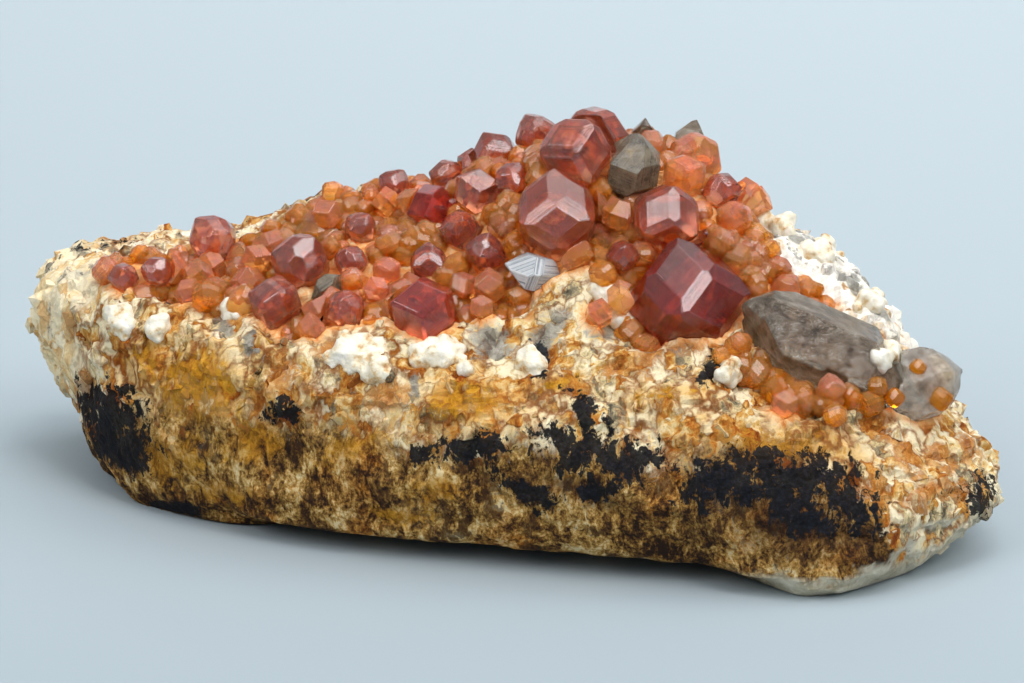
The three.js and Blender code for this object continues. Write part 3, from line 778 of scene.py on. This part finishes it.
def crumpled_film(random, middle, reach, seed):
    """The corners of one film inside a crystal of this middle and half-width."""
    turn = np.array(random_turn(random))
    offset = random.normal(size=3) * 0.22 * reach
    size = reach * random.uniform(0.22, 0.4)
    steps = np.linspace(-1, 1, ROWS)
    flat = np.array([(u, v, 0) for u in steps for v in steps])
    flat[:, :2] *= np.sqrt(1 - 0.5 * flat[:, [1, 0]] ** 2)  # rounds the square off
    flat[:, 2] = 0.3 * swells(flat + seed, 0.9, 71) + 0.12 * swells(flat + seed, 0.35, 72)
    return (flat * size) @ turn.T + middle + offset


def veil_films(random):
    """Three films in each large garnet, as corners and faces."""
    corners, faces = [], []
    for name in garnet_names:
        own = points_of(nodes[name].data)
        middle = (own.min(axis=0) + own.max(axis=0)) / 2
        reach = half_width(nodes[name])
        if "crust" in name or reach < 1.5:
            continue
        for _ in range(3):
            start = len(corners)
            corners.extend(crumpled_film(random, middle, reach, start).tolist())
            squares = [start + a * ROWS + b for a in range(ROWS - 1) for b in range(ROWS - 1)]
            faces.extend([v, v + 1, v + ROWS + 1, v + ROWS] for v in squares)
    return corners, faces


def veil_material():
    """Iron oxide: dull, and brown to yellow with its thickness."""
    veil = new_material("healed cracks stained with iron, inside garnet")
    cloud = add(veil, "TexNoise", {"Vector": millimetres(veil), "Scale": 1 / 0.6, "Detail": 4.0,
                                   "Roughness": 0.55}, out="Fac")
    tone = add(veil, "ValToRGB", {"Fac": cloud},
               stops=[(0.35, "#a8441a"), (0.5, "#e07a2c"), (0.65, "#f2b060")])
    return finish_material(veil, add(veil, "BsdfPrincipled", {"Base Color": tone, "Roughness": 0.6}))


veil_corners, veil_faces = veil_films(np.random.default_rng(31))
veil_mesh = bpy.data.meshes.new("garnet_veils")
veil_mesh.from_pydata((np.array(veil_corners) * MM).tolist(), [], veil_faces)
veils = bpy.data.objects.new("garnet_veils", veil_mesh)
bpy.context.scene.collection.objects.link(veils)
veils.modifiers.new("a film of iron oxide", "SOLIDIFY").thickness = FILM * MM
dress(veils, veil_material(), [])
print(len(veil_faces), "veil faces")

# %% [markdown]
# ## Smoky quartz
# Quartz is clear, with a low index of refraction (1.544), and natural radiation has turned it smoky
# brown. These crystals are not clean: milky clouds, and growth lines about four to the millimetre,
# scatter the light inside them, so each material is part clear and part tone. How clear, how brown and
# how lined is all that differs between the crystals, so one function makes them all. The crystal at the
# right end has no sharp edge left, so it is made as an even net with swells pushed into it, the way the
# rock was.


# %% Smoky quartz
QUARTZ_BEND = 1.544


def smoky_quartz(name, tones, clear, lost, density, roughness, striped, uneven):
    """striped is how much of the tone runs in growth lines, uneven the height of the relief in mm."""
    quartz = new_material(name)
    across = add(quartz, "Attribute", out="Fac", attribute_name="across")
    stripe = add(quartz, "TexNoise", {"W": across, "Scale": 4.0, "Detail": 5.0, "Roughness": 0.8},
                 out="Fac", noise_dimensions="1D")
    clouded = wavering(quartz, millimetres(quartz), 1.2, 1.2)
    cloud = add(quartz, "TexNoise", {"Vector": clouded, "Scale": 1 / 1.1, "Detail": 7.0,
                                     "Roughness": 0.7}, out="Fac")
    lengthwise = millimetres(quartz, stretch=(0.35, 1, 1), turn=(0, math.radians(20), 0))
    lines = add(quartz, "TexNoise", {"Vector": lengthwise, "Scale": 1 / 0.7, "Detail": 4.0,
                                     "Roughness": 0.55}, out="Fac")
    height = summed(quartz, lines, (stripe, striped), (cloud, 0.9))
    relief = add(quartz, "Bump", {"Height": height, "Strength": 0.8, "Distance": uneven * MM})
    shade = summed(quartz, 0.0, (cloud, 1 - striped), (stripe, striped))
    tone = add(quartz, "ValToRGB", {"Fac": shade}, stops=tones)
    surface = add(quartz, "BsdfPrincipled", {"Base Color": tone, "Roughness": roughness,
                                             "IOR": QUARTZ_BEND, "Transmission Weight": clear,
                                             "Normal": relief})
    inside = add(quartz, "VolumeAbsorption", {"Color": lost, "Density": density})
    return finish_material(quartz, surface, inside)


def worn(name, material, amount):
    """A quartz crystal whose faces are uneven and edges are gone, in place of the CAD one."""
    crystal = remeshed_copy(nodes[name], name + "_crystal", 0.24)
    points = points_of(crystal.data)
    push = swells(points, 2.6, 61) + 0.45 * swells(points, 1.1, 62) + 0.2 * swells(points, 0.5, 63)
    push -= 0.5
    move_points(crystal.data, points + normals_of(crystal.data) * (amount * push)[:, None])
    smooth(crystal.data)
    dress(crystal, material, [name])


def smooth(mesh):
    for face in mesh.polygons:
        face.use_smooth = True


# %% The quartz crystals
SMOKE = [(0.34, "#4a3e32"), (0.42, "#86765f"), (0.5, "#b8a68c"), (0.57, "#e8dcc8"), (0.66, "#fff8ea")]
PALE_SMOKE = [(0.34, "#85786a"), (0.42, "#b0a494"), (0.5, "#d4c9ba"), (0.6, "#fbf4e8")]
BROWN_SMOKE = [(0.32, "#4e4234"), (0.45, "#7c6e5c"), (0.58, "#a8987e"), (0.7, "#cfb07c")]
# The striated quartz's tones are partly its own milky white and partly painted sheen: pale silvery streaks
# along its growth lines stand in for light mirrored off the striations.
SILVERY_SHEEN_TONES = [(0.34, "#7c828a"), (0.42, "#b4bbc4"), (0.5, "#eef2f6"), (0.62, "#ffffff")]
smoke = smoky_quartz("smoky quartz", SMOKE, 0.84, "#a08a6c", 40, 0.05, 0.15, 0.2)
pale_smoke = smoky_quartz("smoky quartz, pale", PALE_SMOKE, 0.8, "#c0b098", 50, 0.07, 0.0, 0.2)
brown_smoke = smoky_quartz("smoky quartz, brown", BROWN_SMOKE, 0.5, "#7c6a4c", 110, 0.12, 0.3, 0.08)
striated_quartz_with_painted_sheen = smoky_quartz("quartz, striated", SILVERY_SHEEN_TONES, 0.35, "#b0b4b8", 40, 0.12, 0.8, 0.2)
SHARP_QUARTZ = {  # the material of each crystal that still has its edges, and how blunt they are in mm
    "quartz_striated": (striated_quartz_with_painted_sheen, 0.1), "smoky_quartz_peak": (brown_smoke, 0.06),
    "smoky_quartz_left": (brown_smoke, 0.06), "smoky_quartz_long": (smoke, 0.12),
    "smoky_quartz_tip_left": (smoke, 0.08), "smoky_quartz_tip_right": (smoke, 0.08),
}
quartz_names = sorted(name for name in nodes if "quartz" in name)
for name in quartz_names:
    if name in SHARP_QUARTZ:
        material, blunt = SHARP_QUARTZ[name]
        grow(name, material, 0, blunt)
    else:
        worn(name, pale_smoke, 0.2)
print(len(quartz_names), "quartz crystals")

# %% [markdown]
# ## Fine garnet grains
# Between the crystals that can be picked out, the slope is a crust of hundreds of grains, 1 to 3 mm
# across. Each is the same twelve-faced shape, turned its own way and sunk to a different depth. They
# are made as a few joined meshes. Their places are points of the rock's own net, picked in a random
# order with no two in the same small cell, and points that a larger crystal covers are left out. Loose
# beads run along two lines below the long quartz, which are laid out in the front view.

# %% Places on the rock
rock_points = points_of(rock.data)
rock_normals = normals_of(rock.data)
covered = nearest_crystal(rock_points, 1.0)[1] < 0.12
print(int(covered.sum()), "points of the rock are under a crystal")


def scatter(candidates, spacing, seed):
    """Some of the candidate points of the rock, no two in the same cell of this spacing in mm."""
    random = np.random.default_rng(seed)
    chosen = random.permutation(np.flatnonzero(candidates))
    cells = np.floor(rock_points[chosen] / spacing).astype(np.int64)
    _, first = np.unique(cells, axis=0, return_index=True)
    return chosen[np.sort(first)]


rock_tree = tree_of([rock] + [nodes[name] for name in quartz_names])


def seen_at(across, up):
    """The place on the rock or the quartz that shows at this point of the front view, and its facing."""
    eye = LOOK_AT + TO_CAMERA * DISTANCE
    through = LOOK_AT + Vector((1, 0, 0)) * across + UPWARD * up
    place, normal, _, _ = rock_tree.ray_cast(eye, through - eye)
    return place, normal


# %% One grain, one chip, one lobe
def grain_shape():
    """A twelve-faced garnet of half-width 1 with blunt edges: corners and faces."""
    shape = bmesh.new()
    axes = ((1, 0, 0), (-1, 0, 0), (0, 1, 0), (0, -1, 0), (0, 0, 1), (0, 0, -1))
    corners = [Vector(c) for c in itertools.product((-1, 1), repeat=3)]
    corners += [Vector(axis) * 2 for axis in axes]
    for corner in corners:
        shape.verts.new(corner / math.sqrt(2))
    bmesh.ops.convex_hull(shape, input=shape.verts)
    bmesh.ops.dissolve_limit(shape, angle_limit=0.02, verts=shape.verts, edges=shape.edges)
    bmesh.ops.bevel(shape, geom=shape.edges[:], offset=0.22, segments=1, affect="EDGES", profile=0.5)
    return taken_from(shape)


def taken_from(shape):
    """A working shape's corners and triangles; the working shape is let go."""
    bmesh.ops.triangulate(shape, faces=shape.faces)
    shape.verts.index_update()
    made = [v.co.copy() for v in shape.verts], [[v.index for v in face.verts] for face in shape.faces]
    shape.free()
    return made


def chip_shape(seed):
    """A broken grain: the hull of a few points near a flattened ball."""
    random = np.random.default_rng(seed)
    shape = bmesh.new()
    for point in random.normal(size=(16, 3)):
        shape.verts.new(Vector(point).normalized() * random.uniform(0.8, 1.1))
    bmesh.ops.convex_hull(shape, input=shape.verts)
    loose = [v for v in shape.verts if not v.link_faces]
    bmesh.ops.delete(shape, geom=loose, context="VERTS")
    return taken_from(shape)


def ball_shape(seed):
    """A lumpy ball, like one lobe of a cauliflower."""
    shape = bmesh.new()
    bmesh.ops.create_icosphere(shape, subdivisions=3, radius=1)
    points = np.array([v.co for v in shape.verts])
    lumps = 1 + 0.3 * swells(points, 0.9, seed) + 0.14 * swells(points, 0.4, seed + 1)
    for corner, lump in zip(shape.verts, lumps):
        corner.co *= lump
    return taken_from(shape)


# %% A joined mesh of many
def joined(name, shapes, settings):
    """One mesh from many copies of a few shapes, each with its own place, radii, turn and tone."""
    all_points, all_faces, tones = [], [], []
    start = 0
    for i, (place, radii, turn, tone) in enumerate(settings):
        corners, faces = shapes[i % len(shapes)]
        all_faces.extend([start + v for v in face] for face in faces)
        all_points.append((np.array(corners) * radii) @ np.array(turn).T + np.array(place))
        tones.extend([tone] * len(corners))
        start += len(corners)
    mesh = bpy.data.meshes.new(name)
    mesh.from_pydata((np.concatenate(all_points) * MM).tolist(), [], all_faces)
    keep(mesh, "tone", np.array(tones))
    piece = bpy.data.objects.new(name, mesh)
    bpy.context.scene.collection.objects.link(piece)
    return piece


# %% The crust
def crust_grains(seed):
    """Places, radii, turns and tones of the grains in the crust."""
    random = np.random.default_rng(seed)
    inside = (in_crust(rock_points) > 0) & (rock_normals[:, 2] > 0.1) & ~covered
    grains = []
    for i in scatter(inside, 1.0, seed):
        radius = 0.4 + 1.1 * random.beta(1.2, 3.0)
        lift = random.uniform(0.0, 0.7) * radius
        place = rock_points[i] + rock_normals[i] * lift
        radii = radius * random.uniform(0.85, 1.2, 3)
        grains.append((place, radii, random_turn(random), random.uniform()))
    return grains


def along(path, spacing, spread, radii, seed):
    """Garnet grains strung along a line laid out in the front view."""
    random = np.random.default_rng(seed)
    grains = []
    for start, end in zip(path, path[1:]):
        count = max(1, int(math.dist(start, end) / spacing))
        for i in range(count):
            on_line = np.array(start) + (np.array(end) - start) * (i / count)
            across, up = on_line + random.normal(size=2) * spread
            place, normal = seen_at(across, up)
            if place is None:
                continue
            radius = random.uniform(*radii)
            middle = place + normal * radius * 0.35
            grains.append((middle, (radius,) * 3, random_turn(random), random.uniform(0.5, 1.2)))
    return grains


STRIP = [(18.4, -0.6), (19.6, -2.6), (22.0, -4.2), (24.6, -5.2), (27.0, -5.8), (29.2, -5.6)]
BEADS = [(30.5, -3.8), (32.0, -4.3), (34.0, -2.8), (35.6, -4.6), (34.8, -5.9)]
grains = sorted(crust_grains(4), key=lambda grain: grain[0][0])
garnet_grain = grain_shape()
for label, chosen in zip(("left", "middle", "right"), np.array_split(np.arange(len(grains)), 3)):
    piece = joined("garnet_grains_" + label, [garnet_grain], [grains[i] for i in chosen])
    dress(piece, amber_garnet, [])
strip = along(STRIP, 0.4, 0.6, (0.5, 1.25), 8) + along(BEADS, 1.4, 0.35, (0.45, 1.0), 9)
dress(joined("garnet_grains_strip", [garnet_grain], strip), amber_garnet, [])
print(len(grains) + len(strip), "fine grains of", len(garnet_grain[1]), "faces each")

# %% [markdown]
# ## Albite knobs and grains
# The white upper rock is sugary: broken albite grains 1 to 3 mm across, some stained, some of them
# grey quartz. Where pockets were open the albite grew as rounded knobs, like small cauliflowers. Both
# are joined meshes again: chips with flat breaks for the grains, and lumpy balls in clusters for the
# knobs, which a remesh then melts into one skin. The chips are the rock itself, so they take its
# material and the stain marks of the point that they sit on.


# %% The knobs' finish
def knob_material():
    """Fresh albite: white and pearly, sugary at a third of a millimetre, with rust in a few spots."""
    white = new_material("albite, cauliflower knobs")
    place = millimetres(white)
    cloud, broad, sugary = [
        add(white, "TexNoise", {"Vector": place, "Scale": 1 / size, "Detail": detail,
                                "Roughness": roughness}, out="Fac")
        for size, detail, roughness in ((0.9, 5, 0.65), (2.2, 3, 0.55), (0.35, 4, 0.55))]
    shade = summed(white, -0.4, (cloud, 0.9), (broad, 0.8))
    tone = add(white, "ValToRGB", {"Fac": shade},
               stops=[(0.2, "#a8682c"), (0.3, "#d2b282"), (0.4, "#e6dac0"), (0.6, "#efe9dc")])
    relief = add(white, "Bump", {"Height": sugary, "Strength": 0.8, "Distance": 0.16 * MM})
    surface = add(white, "BsdfPrincipled", {"Base Color": tone, "Roughness": 0.5, "IOR": 1.53,
                                            "Normal": relief})
    return finish_material(white, surface)


# %% Places for the albite grains
def sugar_grains(seed):
    """Chips sunk into the white rock, and the rock point under each."""
    random = np.random.default_rng(seed)
    unworn = worn_depth(rock_points, rock_normals) < 0.3
    inside = unworn & (in_crust(rock_points) < 0.3) & ~covered & (rock_normals[:, 2] > -0.5)
    chosen = scatter(inside, 2.4, seed)
    chips = []
    for i in chosen:
        radius = 0.55 + 0.8 * random.beta(1.4, 2.2)
        radii = radius * random.uniform(0.7, 1.35, 3)
        place = rock_points[i] - rock_normals[i] * radius * random.uniform(0.5, 0.9)
        chips.append((place, radii, random_turn(random), random.uniform(-0.5, 0.5)))
    return chips, chosen


def marked_like_rock(piece, sources, corner_counts):
    """Gives every corner of a joined piece the stain marks of the rock point it sits on."""
    which = np.repeat(sources, corner_counts)
    for name in (*STAINS, "brown", "pale", "cream", "wash", "white"):
        values = np.empty(len(rock.data.vertices), dtype=np.float32)
        rock.data.attributes[name].data.foreach_get("value", values)
        keep(piece.data, name, values[which])


# %% Places for the knobs
KNOBS = [  # across and up in the front view, how wide and how high the cluster is, in mm
    (-32.7, 1.8, 1.4, 1.1), (-29.4, 1.2, 1.1, 0.9), (-13.2, -0.6, 2.4, 1.1), (-6.0, -1.2, 2.4, 1.3),
    (1.6, -1.8, 0.9, 1.1), (8.6, 3.6, 2.0, 1.2), (9.4, 1.6, 1.5, 1.0), (11.2, 2.8, 1.2, 0.8),
    (7.4, 4.4, 1.0, 0.7), (17.8, -2.6, 0.8, 1.2), (22.5, 9.6, 1.8, 0.8), (26.0, 7.4, 1.7, 0.9),
    (29.5, 3.2, 1.4, 0.8), (20.6, 9.9, 1.2, 0.6), (-23.0, 2.6, 1.4, 0.6), (31.4, -1.0, 1.0, 0.9),
    (-11.2, -2.4, 0.8, 0.9),
]


def knob_balls(seed):
    """Places, radii, turns and tones of the lobes that make up the knobs."""
    random = np.random.default_rng(seed)
    balls = []
    for across, up, wide, high in KNOBS:
        for _ in range(int(11 * wide * high) + 4):
            spread = random.normal(size=2) * 0.42
            place, normal = seen_at(across + wide * spread[0], up + high * spread[1])
            if place is None:
                continue
            radius = random.uniform(0.4, 0.9)
            heap = 0.7 * math.exp(-2 * spread @ spread)  # lobes pile up in the middle
            middle = place + normal * (heap - radius * random.uniform(0.2, 0.7))
            balls.append((middle, (radius,) * 3, random_turn(random), random.uniform()))
    return balls


# %% The grains and the knobs
chip_shapes = [chip_shape(seed) for seed in range(6)]
chips, chip_sources = sugar_grains(12)
sugar = joined("albite_grains", chip_shapes, chips)
counts = [len(chip_shapes[i % len(chip_shapes)][0]) for i in range(len(chips))]
marked_like_rock(sugar, chip_sources, counts)
dress(sugar, stained_rock, [])
lobes = joined("albite_lobes", [ball_shape(seed) for seed in (1, 4, 7)], knob_balls(21))
knobs = remeshed_copy(lobes, "albite_knobs", 0.2)
bpy.data.objects.remove(lobes)
knob_points = points_of(knobs.data)
lumps = 0.14 * swells(knob_points, 0.7, 81) + 0.07 * swells(knob_points, 0.35, 82)
move_points(knobs.data, knob_points + normals_of(knobs.data) * lumps[:, None])
smooth(knobs.data)
dress(knobs, knob_material(), [])
print(len(chips), "albite grains and", len(KNOBS), "knobs of", len(knobs.data.polygons), "faces in all")

# %% [markdown]
# ## Stage, light and camera
# The specimen stands on pale blue-grey paper that curves up behind it. The room is dark at the foot of
# its walls, bright half-way up and greyer overhead: crystal faces need something large and uneven to
# mirror. Two soft boxes at the front and a small one over it pick out the faces and edges, and a big
# weak one above fills the shade. The camera looks from 17 degrees above level through a long lens.


# %% The paper
def sweep():
    """Floor and backdrop in one sheet: flat, then a wide curve, then upright."""
    bend, start, steps = 260, 300, 24  # the curve's radius and where it starts, in mm, and its facets
    curve = [(start + bend * math.sin(a), bend * (1 - math.cos(a)))
             for a in np.linspace(0, math.pi / 2, steps)]
    rows = [(-900, 0), *curve, (start + bend, 1400)]
    points = [(x, y, z) for y, z in rows for x in (-1500, 1500)]
    faces = [(2 * i, 2 * i + 1, 2 * i + 3, 2 * i + 2) for i in range(len(rows) - 1)]
    mesh = bpy.data.meshes.new("paper_sweep")
    mesh.from_pydata((np.array(points) * MM).tolist(), [], faces)
    smooth(mesh)
    paper = bpy.data.objects.new("paper_sweep", mesh)
    bpy.context.scene.collection.objects.link(paper)
    mesh.materials.append(backdrop_paper_with_painted_shade())
    return paper


def backdrop_paper_with_painted_shade():
    """Matt paper, with painted shade: grey at the front, going to pale at the back."""
    sheet = new_material("pale blue-grey backdrop paper")
    # Painted shade: the paper's colour is darker towards the front and paler towards the back.
    depth = add(sheet, "SeparateXYZ", {0: millimetres(sheet)}, out="Y")
    shade = add(sheet, "ValToRGB", {"Fac": summed(sheet, 0.15, (depth, 1 / 700))},
                stops=[(0.0, "#929ea5"), (1.0, "#f2fbff")])
    return finish_material(sheet, add(sheet, "BsdfPrincipled", {"Base Color": shade, "Roughness": 0.7}))


sweep()


# %% Lights
def soft_box(name, place, size, power, target=(0, 0, 15)):
    """A rectangular light aimed at the target. Places and sizes are in mm, the power is in watts."""
    light = bpy.data.lights.new(name, "AREA")
    light.shape = "RECTANGLE"
    light.size = size[0] * MM
    light.size_y = size[1] * MM
    light.energy = power
    lamp = bpy.data.objects.new(name, light)
    lamp.location = Vector(place) * MM
    lamp.rotation_euler = (Vector(target) - Vector(place)).to_track_quat("-Z", "Y").to_euler()
    bpy.context.scene.collection.objects.link(lamp)


soft_box("key_front_right", (195, -250, 315), (190, 190), 0.66)
soft_box("key_front_left", (-240, -240, 285), (190, 190), 0.5)
soft_box("top_front", (50, -135, 430), (150, 150), 0.4)
soft_box("tent_top", (190, 60, 560), (520, 800), 2.2)
print(len(bpy.data.lights), "soft boxes")

# %% The room
world = bpy.data.worlds.new("pale room")
world.use_nodes = True
direction = add(world, "TexCoord", out="Generated")
height = add(world, "SeparateXYZ", {0: direction}, out="Z")
dome = add(world, "ValToRGB", {"Fac": height},
           stops=[(0.0, "#4a5158"), (0.25, "#8c979f"), (0.5, "#f0f8fd"), (0.85, "#e6f0f6"), (1.0, "#b0bac1")])
walls = world.node_tree.nodes["Background"]
world.node_tree.links.new(dome, walls.inputs["Color"])
walls.inputs["Strength"].default_value = 0.78
bpy.context.scene.world = world

# %% Camera
camera = bpy.data.objects.new("camera", bpy.data.cameras.new("camera"))
camera.location = (LOOK_AT + TO_CAMERA * DISTANCE) * MM
camera.rotation_euler = (-TO_CAMERA).to_track_quat("-Z", "Y").to_euler()
camera.data.lens = 109.7  # mm, on a sensor 36 mm wide
camera.data.clip_start = 0.01
bpy.context.scene.collection.objects.link(camera)
bpy.context.scene.camera = camera
bpy.context.scene.view_settings.view_transform = "Standard"
